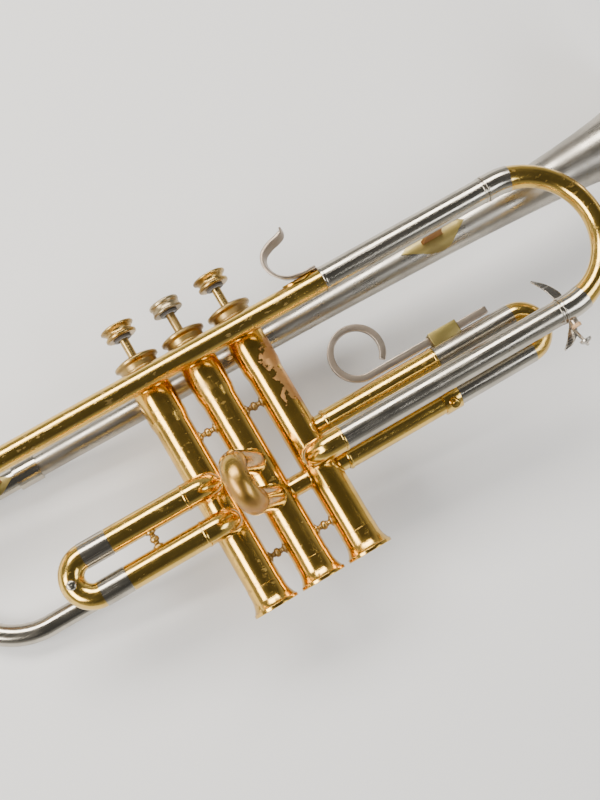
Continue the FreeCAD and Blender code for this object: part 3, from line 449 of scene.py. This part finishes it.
def sweep(path, section, up, closed=False):
    """A solid along a path; section(share) gives (across, up) offsets in mm at each place."""
    points, faces = [], []
    last = len(path) - 1
    for index, place in enumerate(path):
        if closed:
            along = path[(index + 1) % len(path)] - path[index - 1]
        else:
            along = path[min(index + 1, last)] - path[max(index - 1, 0)]
        along.normalize()
        across = up.cross(along).normalized()
        upward = along.cross(across)
        ring = section(index / last)
        points += [place + (across * x + upward * y) * MM for x, y in ring]
    count = len(ring)
    for index in range(len(path) if closed else last):
        here, there = index * count, (index + 1) % len(path) * count
        for step in range(count):
            onward = (step + 1) % count
            faces.append((here + step, here + onward, there + onward, there + step))
    if not closed:
        faces.append(tuple(range(count)))
        faces.append(tuple(range(last * count, (last + 1) * count)))
    return points, faces


def rounded_bar(width, depth, corner):
    """The section of a flat bar with rounded edges."""
    half_x, half_y = width / 2, depth / 2
    corners = [Vector((x, y)) for x, y in (
        (-half_x, -half_y), (half_x, -half_y), (half_x, half_y), (-half_x, half_y)
    )]
    return [(p.x, p.y) for p in soften(corners, corner)]


def circle(radius, sides=10):
    turns = [2 * math.pi * step / sides for step in range(sides)]
    return [(radius * math.cos(turn), radius * math.sin(turn)) for turn in turns]


PIECE_SHARP = math.radians(38)


def add_piece(name, shapes, body, material):
    """Joins shapes into one piece that rides on a body."""
    build = bmesh.new()
    for points, faces in shapes:
        made = [build.verts.new(point) for point in points]
        for face in faces:
            build.faces.new([made[index] for index in face])
    bmesh.ops.remove_doubles(build, verts=build.verts, dist=1e-6)
    bmesh.ops.recalc_face_normals(build, faces=build.faces)
    mesh = bpy.data.meshes.new(name)
    build.to_mesh(mesh)
    build.free()
    mesh.shade_smooth()
    mesh.set_sharp_from_angle(angle=PIECE_SHARP)
    mesh.materials.append(materials[material])
    piece = bpy.data.objects.new(name, mesh)
    bpy.context.scene.collection.objects.link(piece)
    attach(piece, body)
    return piece


# ---- valves ------------------------------------------------------------------------------

# Sizes and heights of the CAD model that pieces have to meet, in mm.
VALVES = (1, 2, 3)
CASING_R = 9.25
SLEEVE_R = 6.5
KNUCKLE_R = 6.6
CROOK_R = 6.4
STUB_R = 5.7
PORT_R = 5.2
BOW_R = 5.4
LEADPIPE_R = 5.9
FERRULE_R = 6.8
FIRST_LEGS = (-60.0, -80.0)
SECOND_LEGS = (-60.4, -80.4)
THIRD_LEGS = (-60.5, -80.5)
SECOND_PORT = -62.0
THIRD_PORT = -80.5
MAIN_LOW = -73.0
BOW_LOW = -77.8
SECOND_LEAN = math.radians(16.5)
THIRD_BACK = 2.0
THIRD_Z = -19
FIRST_POST_X = 146.6
POST_HEIGHTS = (-35.7, -104.2)


def valve_base(number):
    """A point on a valve's axis at Y = 0."""
    middle = centre_of(f"piston_{number}")
    return Vector((middle.x, 0, middle.z))


def make_bottom_caps():
    """Flared caps with a thin rolled rim, a joint line at the casing and a dished underside."""
    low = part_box("bottom_caps")[0].y / MM
    shapes = []
    for number in VALVES:
        flare = []
        steps = 8
        for step in range(steps + 1):
            share = step / steps
            flare.append((low + 9.5 - 7.6 * share, 9.45 + 2.0 * share ** 2.4))
        outline = [
            (low + 12.75, 9.05), (low + 12.75, 9.45), *flare,
            (low + 1.8, 11.95), (low + 0.2, 11.95), (low, 11.6), (low, 9.4), (low + 1.5, 8.2),
            (low + 1.5, 1.6), (low + 3.9, 1.6), (low + 3.9, 9.0),
        ]
        shapes.append(lathe(outline, valve_base(number), Y, 0.22))
    cap = add_piece("bottom_valve_caps", shapes, "root", "casing_brass")
    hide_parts("bottom_caps")


def make_top_cap(number):
    """A cap with a sharp-edged wide rim, a step and a low dome round the stem."""
    low, high = (corner.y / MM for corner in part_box(f"top_cap_{number}"))
    outline = [
        (low, 9.66), (low, 10.1), (low + 0.7, 10.1), (low + 0.95, 9.9), (low + 1.2, 10.1),
        (low + 3.4, 10.1), (low + 4.0, 10.35), (low + 4.7, 11.6), (low + 5.0, 11.85),
        (low + 6.1, 11.85), (low + 6.5, 11.3), (low + 6.7, 10.2), (high - 1.0, 9.9),
        (high - 0.75, 9.0), (high - 0.5, 6.2), (high, 5.6), (high, 2.75),
        (low + 4.6, 2.75), (low + 4.6, 9.66),
    ]
    shape = lathe(outline, valve_base(number), Y, 0.18)
    cap = add_piece(f"valve_top_cap_{number}", [shape], "root", "dull_brass")
    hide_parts(f"top_cap_{number}")


def make_button(number):
    """A finger button: spool-shaped on the outer valves, straight-sided on the middle one."""
    low, high = (corner.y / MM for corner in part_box(f"finger_button_{number}"))
    if number == 2:
        outline = [
            (low, 2.4), (low, 7.7), (low + 0.3, 8.0), (low + 1.1, 8.0), (low + 1.5, 7.6),
            (low + 2.6, 7.4), (high - 2.6, 7.4), (high - 2.1, 7.9), (high - 1.6, 8.0),
            (high - 0.8, 8.0), (high - 0.3, 7.6), (high - 0.1, 6.6), (high - 0.5, 6.1), (high - 0.8, 5.6),
            (high - 0.8, 0), (low + 1.5, 0), (low + 1.5, 2.4),
        ]
    else:
        outline = [
            (low, 2.4), (low, 7.4), (low + 0.5, 8.2), (low + 1.5, 8.3), (low + 2.0, 7.9),
            (low + 2.5, 7.0), (low + 3.4, 6.9), (low + 4.3, 7.5), (high - 1.6, 8.6),
            (high - 1.2, 9.0), (high - 0.6, 9.0), (high - 0.15, 8.5), (high, 7.4),
            (high - 0.7, 6.4), (high - 1.0, 5.6), (high - 0.7, 0), (low + 1.5, 0), (low + 1.5, 2.4),
        ]
    material = "button_nickel" if number == 2 else "dull_brass"
    shape = lathe(outline, valve_base(number), Y, 0.2)
    button = add_piece(f"button_{number}", [shape], f"valve_{number}", material)
    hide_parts(f"finger_button_{number}")


def make_felts(number):
    """Thick soft washers with bulged edges, one under the button and one on the piston."""
    low, high = (corner.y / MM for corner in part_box(f"piston_felts_{number}"))
    washers = [
        [(high - 1.2, 2.45), (high - 1.2, 4.6), (high - 0.6, 4.9), (high, 4.6), (high, 2.45)],
        [(low, 2.45), (low, 6.9), (low + 2.4, 6.9), (low + 2.4, 2.45)],
    ]
    shapes = [lathe(outline, valve_base(number), Y, 0.5) for outline in washers]
    felts = add_piece(f"felt_washers_{number}", shapes, f"valve_{number}", "felt")
    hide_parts(f"piston_felts_{number}")


def make_spring(number):
    """A round-wire coil that stands on the guide."""
    low, high = (corner.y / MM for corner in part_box(f"valve_spring_{number}"))
    wire_r, coil_r, turns, steps = 0.45, 6.4, 7, 36
    base = valve_base(number)
    first, last = low + wire_r, high - wire_r
    path = []
    for step in range(turns * steps + 1):
        share = step / (turns * steps)
        turn = 2 * math.pi * step / steps
        rise = first + (last - first) * share
        path.append(base + Vector((coil_r * math.cos(turn), rise, coil_r * math.sin(turn))) * MM)
    shape = sweep(path, lambda share: circle(wire_r), Y)
    spring = add_piece(f"coil_spring_{number}", [shape], "root", "spring_steel")
    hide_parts(f"valve_spring_{number}")
    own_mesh(spring)


def make_posts():
    """Turned posts: a flange at each end, a thin neck, and a ball between two small discs."""
    runs = []
    for left, right in ((1, 2), (2, 3)):
        for height in POST_HEIGHTS:
            start = valve_base(left) + Vector((CASING_R, height, 0)) * MM
            end = valve_base(right) + Vector((-CASING_R, height, 0)) * MM
            runs.append((start, end))
    low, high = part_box("first_sleeves")
    x = FIRST_POST_X * MM
    tube = 2 * SLEEVE_R * MM
    runs.append((Vector((x, high.y - tube, 0)), Vector((x, low.y + tube, 0))))
    shapes = []
    for start, end in runs:
        length = (end - start).length / MM
        half = length / 2
        side = [
            (-0.9, 3.0), (0.25, 2.8), (0.5, 2.1), (1.0, 1.45), (half - 2.3, 1.05),
            (half - 2.1, 1.6), (half - 1.7, 1.6), (half - 1.5, 1.2), (half - 1.2, 1.9), (half - 0.6, 2.35),
        ]
        back = [(length - along, radius) for along, radius in reversed(side)]
        outline = [(-0.9, 0), *side, *back, (length + 0.9, 0)]
        shapes.append(lathe(outline, start, (end - start).normalized(), 0.2, 32))
    posts = add_piece("turned_brace_posts", shapes, "root", "dull_brass")
    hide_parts("turned_posts")


# ---- solder and bands ----------------------------------------------------------------------

def solder_line(number, y, away, radius, aside=0.0):
    """A bead where a tube leaves a casing towards away; aside is how far off the axis it is."""
    base = valve_base(number)
    level = away.cross(Y).normalized()
    bead_r, steps = 0.42, 64
    path = []
    for step in range(steps):
        turn = 2 * math.pi * step / steps
        across = radius * math.cos(turn) + aside
        out = math.sqrt(max(CASING_R ** 2 - across ** 2, 0.2))
        place = level * across + away * (out + 0.05) + Y * (y + radius * math.sin(turn))
        path.append(base + place * MM)
    return sweep(path, lambda share: circle(bead_r), away, closed=True)


def band(x, y, z, radius, width, height):
    """A raised half-round band round a tube that runs along X."""
    outline = [
        (x - width / 2, radius - 0.3), (x - width / 2, radius + height * 0.4),
        (x - width / 4, radius + height), (x + width / 4, radius + height),
        (x + width / 2, radius + height * 0.4), (x + width / 2, radius - 0.3),
    ]
    return lathe(outline, Vector((0, y, z)) * MM, X, 0.15, 64)


def make_solder():
    """Beads round every tube that is soldered to a casing."""
    second_way = Vector((-math.sin(SECOND_LEAN), 0, math.cos(SECOND_LEAN)))
    shapes = [solder_line(1, y, Z, KNUCKLE_R) for y in FIRST_LEGS]
    shapes += [solder_line(2, y, second_way, SLEEVE_R) for y in SECOND_LEGS]
    shapes += [solder_line(1, SECOND_PORT, X, PORT_R), solder_line(2, SECOND_PORT, -X, PORT_R)]
    shapes += [solder_line(2, THIRD_PORT, X, PORT_R), solder_line(3, THIRD_PORT, -X, PORT_R)]
    shapes += [solder_line(3, y, X, STUB_R, aside=THIRD_BACK) for y in THIRD_LEGS]
    shapes += [solder_line(3, MAIN_LOW, Z, KNUCKLE_R), solder_line(1, BOW_LOW, -Z, BOW_R)]
    add_piece("solder_beads", shapes, "root", "lacquered_brass")


def make_bands():
    """Thin rings at the tubes' ends."""
    first_end, third_start, third_end = 168.6, 248.8, 312.2
    low_start, high_start, main_end, slide_start = 248.6, 281.2, 374.2, 376.3
    gold = [band(first_end, y, 0, SLEEVE_R, 1.6, 0.3) for y in FIRST_LEGS]
    gold += [band(third_start, y, THIRD_Z, SLEEVE_R, 1.8, 0.35) for y in THIRD_LEGS]
    gold += [band(third_end, THIRD_LEGS[0], THIRD_Z, SLEEVE_R, 1.4, 0.3)]
    gold += [band(low_start, MAIN_LOW, 0, SLEEVE_R, 1.5, 0.25)]
    add_piece("sleeve_bands", gold, "root", "lacquered_brass")
    silver = [band(high_start, 0, 0, SLEEVE_R, 1.6, 0.25)]
    silver += [band(main_end, y, 0, SLEEVE_R, 1.3, 0.28) for y in (0, MAIN_LOW)]
    add_piece("main_sleeve_bands", silver, "root", "nickel_plate")
    moving = [band(slide_start, y, 0, FERRULE_R, 1.3, 0.2) for y in (0, MAIN_LOW)]
    add_piece("main_slide_bands", moving, "main_slide", "nickel_plate")


# ---- finger ring, hook and water key -------------------------------------------------------

RING_RADIUS = 13.3
RING_ARC = 313
BAR_HEIGHT = 3.9
BAR_BREADTH = 3.1


def make_finger_ring():
    """One bar bent into an open ring: rounded edges, a little thinner round the ring."""
    low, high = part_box("finger_ring")
    bar_y = low.y + BAR_HEIGHT / 2 * MM
    centre_x = low.x + (RING_RADIUS + BAR_HEIGHT / 2) * MM
    centre = Vector((centre_x, bar_y + RING_RADIUS * MM, (low.z + high.z) / 2))
    straight, around = 120, 180
    path = []
    for step in range(straight):
        x = high.x + (centre.x - high.x) * step / straight
        path.append(Vector((x, bar_y, centre.z)))
    for step in range(around + 1):
        angle = math.radians(270 - RING_ARC * step / around)
        path.append(centre + Vector((math.cos(angle), math.sin(angle), 0)) * RING_RADIUS * MM)

    def section(share):
        thin = min(max((share - 0.3) / 0.25, 0), 1)
        tip = 0.86 + 0.14 * min((1 - share) / 0.006, share / 0.006, 1)
        width = (BAR_HEIGHT + 0.2 - 0.6 * thin) * tip
        return rounded_bar(width, BAR_BREADTH * tip, 0.5)

    ring = add_piece("finger_ring_bar", [sweep(path, section, Z)], "finger_ring", "nickel_silver")
    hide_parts("finger_ring")


def make_finger_hook():
    """A strip soldered along the leadpipe that curls up and back to a pointed tip."""
    corners = [
        (280.6, 7.0), (276.0, 7.0), (271.6, 7.5), (265.4, 9.7), (261.0, 14.5), (259.6, 20.2),
        (261.8, 25.0), (266.8, 27.7), (271.6, 28.9), (275.0, 30.6), (275.9, 33.6),
    ]
    path = smooth_line([Vector((x, y, 0)) * MM for x, y in corners], 70)

    def section(share):
        breadth = 8.0 - 1.5 * max(0.08 - share, 0) / 0.08
        breadth *= min((1.04 - share) / 0.16, 1) ** 0.7
        thickness = 1.7 - 0.8 * max(share - 0.84, 0) / 0.16
        lean = math.radians(17) * min(max((share - 0.15) / 0.25, 0), 1)
        return [
            (x * math.cos(lean) + y * math.sin(lean), y * math.cos(lean) - x * math.sin(lean))
            for x, y in rounded_bar(thickness, breadth, 0.5)
        ]

    plate_start, plate_length, plate_steps = 261.5, 17.5, 24
    plate = []
    for step in range(plate_steps + 1):
        share = step / plate_steps
        plate.append(Vector((plate_start + plate_length * share, 0, 0)) * MM)

    def plate_section(share):
        """A plate's thickness on the leadpipe, widest in the middle of its length."""
        spread = math.radians(52) * math.sin(math.pi * min(max(share, 0.02), 0.98)) ** 0.6
        outer = [(LEADPIPE_R + 0.65, spread * (step / 8 - 1)) for step in range(17)]
        inner = [(LEADPIPE_R - 0.05, spread * (1 - step / 8)) for step in range(17)]
        return [(radius * math.cos(turn), radius * math.sin(turn)) for radius, turn in outer + inner]

    hook = add_piece("little_finger_hook", [sweep(path, section, Z)], "root", "nickel_silver")
    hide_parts("finger_hook")
    add_piece("hook_plate", [sweep(plate, plate_section, Z)], "root", "lacquered_brass")


def make_water_key():
    """A cast lever: tapering curved arms, a hub, and a cup on a short bent arm."""
    cork = centre_of("water_key_cork") / MM
    cup_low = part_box("water_key_lever")[0].y / MM
    pivot = Vector((380.3, MAIN_LOW, -8.45))
    strip_z = -9.4
    corners = [
        (373.8, -51.3), (378.6, -57.6), (381.5, -64.5), (380.9, -70.0), (380.7, -76.0),
        (380.8, -80.2), (378.0, -85.0), (374.4, -88.1), (369.9, -90.3),
    ]
    path = smooth_line([Vector((x, y, strip_z)) * MM for x, y in corners], 72)
    widths = [
        (0, 0.9), (0.1, 3.0), (0.24, 5.0), (0.36, 3.6), (0.62, 3.6), (0.76, 5.2), (0.9, 3.2), (1, 0.9),
    ]

    def section(share):
        return rounded_bar(between(share, widths), 1.1, 0.4)

    bend = [
        Vector((380.4, -79.8, -9.5)), Vector((379.2, -83.4, -9.2)), Vector((378.8, -84.4, -6.4)),
        Vector((cork.x, cup_low + 0.5, -1.5)), Vector((cork.x, cup_low + 0.7, 1.0)),
    ]
    arm_path = smooth_line([point * MM for point in bend], 24)
    arm = sweep(arm_path, lambda share: rounded_bar(2.8, 1.0, 0.4), X)
    hub_outline = [(-2.5, 0.65), (-2.5, 1.25), (-1.8, 1.45), (1.8, 1.45), (2.5, 1.25), (2.5, 0.65)]
    hub = lathe(hub_outline, pivot * MM, X, 0.2, 32)
    cup_outline = [
        (0, 0), (0, 1.6), (0.5, 2.6), (1.1, 3.1), (2.2, 3.2), (2.2, 2.75), (1.0, 2.65), (1.0, 0),
    ]
    cup = lathe(cup_outline, Vector((cork.x, cup_low, 0)) * MM, Y, 0.2, 48)
    lever = add_piece("water_key", [sweep(path, section, Z), arm, hub, cup], "water_key", "key_nickel")
    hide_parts("water_key_lever")


def make_crook_nub():
    """A small turned nub on the first slide's crook, to pull it by."""
    low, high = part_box("first_crook")
    middle = (low + high) / 2
    outline = [(-1.0, 0), (-1.0, 2.0), (0.3, 1.7), (0.7, 2.4), (1.6, 2.6), (2.5, 1.9), (2.8, 0)]
    base = Vector((low.x + CROOK_R * MM, middle.y, high.z - 0.2 * MM))
    add_piece("first_crook_nub", [lathe(outline, base, Z, 0.3, 32)], "first_slide", "nickel_plate")


# ---- braces --------------------------------------------------------------------------------

BELL_AXIS = Vector((0, -4.8, -35.0))
BELL_TAIL_X = 107.0
RIM_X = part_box("bell")[1].x / MM


def bell_skin(x):
    """The bell's outer radius in mm at a distance x from the mouthpiece end."""
    base_r, flare_r, flare_length, power = 3.0, 62.6, 13.3, 0.86
    return base_r + (flare_r - base_r) * ((RIM_X - x + flare_length) / flare_length) ** -power


def saddle(low_x, high_x, axis, radius, edges, facing):
    """A thin plate wrapped round a tube. edges(share) gives its two angles, in degrees."""
    points, faces = [], []
    along, across, thickness = 48, 16, 0.75
    for step in range(along + 1):
        share = step / along
        x = low_x + (high_x - low_x) * share
        first, last = (math.radians(angle) for angle in edges(min(max(share, 0.004), 0.996)))
        turns = [first + (last - first) * index / across for index in range(across + 1)]
        close = 0.35 + 0.65 * min(share / 0.1, (1 - share) / 0.1, 1)
        rings = [(turn, radius(x) + 0.05 + thickness * close) for turn in turns]
        rings += [(turn, radius(x) - 0.1) for turn in reversed(turns)]
        for turn, away in rings:
            aside = Vector((x, -math.sin(turn) * away, math.cos(turn) * away * facing))
            points.append((axis + aside) * MM)
    count = 2 * (across + 1)
    for step in range(along):
        here, there = step * count, (step + 1) * count
        for index in range(count):
            onward = (index + 1) % count
            faces.append((here + index, here + onward, there + onward, there + index))
    faces.append(tuple(range(count)))
    faces.append(tuple(range(along * count, (along + 1) * count)))
    return points, faces


def between(share, stops):
    """A value read off a list of (share, value) stops, joined by straight lines."""
    for (from_share, from_value), (to_share, to_value) in zip(stops, stops[1:]):
        if share <= to_share:
            t = (share - from_share) / (to_share - from_share)
            return from_value + (to_value - from_value) * t
    return stops[-1][1]


def make_braces():
    """Two bell braces: a leaf on the bell, a leaf on the tube above, and a web between them."""
    tail_r = bell_skin(BELL_TAIL_X)
    front_low = [(0, -9), (0.2, 15), (0.37, 36), (0.55, 47), (0.68, 40), (0.85, 12), (1, -9)]
    front_high = [(0, -9), (0.3, -40), (0.55, -58), (0.8, -35), (1, -9)]
    rear_low = [(0, 0), (0.3, 38), (0.5, 50), (0.7, 38), (1, 0)]

    def front_edges(share):
        return between(share, front_high), between(share, front_low)

    def rear_edges(share):
        return -between(share, rear_low), between(share, rear_low)

    leaves = [
        saddle(328.2, 366.8, BELL_AXIS, bell_skin, front_edges, 1),
        saddle(76.0, 100.0, BELL_AXIS, lambda x: tail_r, rear_edges, 1),
        saddle(332.5, 361.5, Vector(), lambda x: SLEEVE_R, rear_edges, -1),
        saddle(78.5, 97.5, Vector(), lambda x: LEADPIPE_R, rear_edges, -1),
    ]
    piece = add_piece("bell_brace_leaves", leaves, "root", "brace_brass")
    webs = []
    web_steps = 12
    for x, bell_r, pipe_r in ((347.0, bell_skin(341), SLEEVE_R), (88.0, tail_r, LEADPIPE_R)):
        low = Vector((x, -3.6, BELL_AXIS.z + bell_r + 0.3))
        high = Vector((x, -1.4, -pipe_r - 0.3))
        path = [(low + (high - low) * step / web_steps) * MM for step in range(web_steps + 1)]

        def section(share):
            waist = 1 - 0.3 * math.sin(math.pi * share)
            return rounded_bar(2.2, 13.0 * waist, 0.5)

        webs.append(sweep(path, section, X))
    add_piece("bell_brace_webs", webs, "root", "bare_copper")
    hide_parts("bell_braces")


# ---- bell ----------------------------------------------------------------------------------

def make_bell():
    """The spun bell as one smooth skin, ending in a rolled rim."""
    low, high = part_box("bell")
    tail, rim = low.x / MM, high.x / MM
    rim_r = (high.y - low.y) / 2 / MM
    roll, wall = 1.5, 0.6
    axis = BELL_AXIS * MM
    count = 110
    mouth = rim - roll
    stations = [mouth - (mouth - tail) * (1 - step / count) ** 2.2 for step in range(count + 1)]
    outline = [(x, bell_skin(x)) for x in stations]
    outline += [(x, bell_skin(x) - wall) for x in reversed(stations)]
    sides = 24
    turns = [2 * math.pi * step / sides for step in range(sides)]
    ring = [(mouth + roll * math.cos(turn), rim_r - roll + roll * math.sin(turn)) for turn in turns]
    shapes = [lathe(outline, axis, X, 0, 160), lathe(ring, axis, X, 0, 160)]
    piece = add_piece("bell_skin", shapes, "root", "bell_nickel")
    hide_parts("bell")


NODE_SHARP = math.radians(35)
BEVEL_WIDTH = 0.00035
WELD_DISTANCE = 0.00001

make_camera()
make_floor()
make_lights()
materials = make_materials()

slot_of = {row["node"]: row["material_slot"] for row in frame["record"]["subparts"]}
# Nodes that look different from the rest of their slot.
special = {
    "valve_casing_3": "casing_3_worn", "leadpipe": "leadpipe_brass", "second_crook": "crook_brass",
    "ring_clamp": "brace_brass", "third_stop_collar": "lacquered_brass",
    "second_ferrules": "lacquered_brass",
}
for name, node in nodes.items():
    material = materials[special.get(name, slot_of[name])]
    node.data.materials.clear()
    node.data.materials.append(material)
    node.data.shade_smooth()
    node.data.set_sharp_from_angle(angle=NODE_SHARP)

for name in ("ring_clamp", "casing_saddles", "third_stop_collar", "water_key_saddle"):
    weld = nodes[name].modifiers.new("weld", "WELD")
    weld.merge_threshold = WELD_DISTANCE
    bevel = nodes[name].modifiers.new("bevel", "BEVEL")
    bevel.width = BEVEL_WIDTH
    bevel.segments = 3
    bevel.limit_method = "ANGLE"
    bevel.angle_limit = math.radians(40)

make_bottom_caps()
for valve in VALVES:
    make_top_cap(valve)
    make_button(valve)
    make_felts(valve)
    make_spring(valve)
make_posts()
make_solder()
make_bands()
make_finger_ring()
make_finger_hook()
make_water_key()
make_crook_nub()
make_braces()
make_bell()
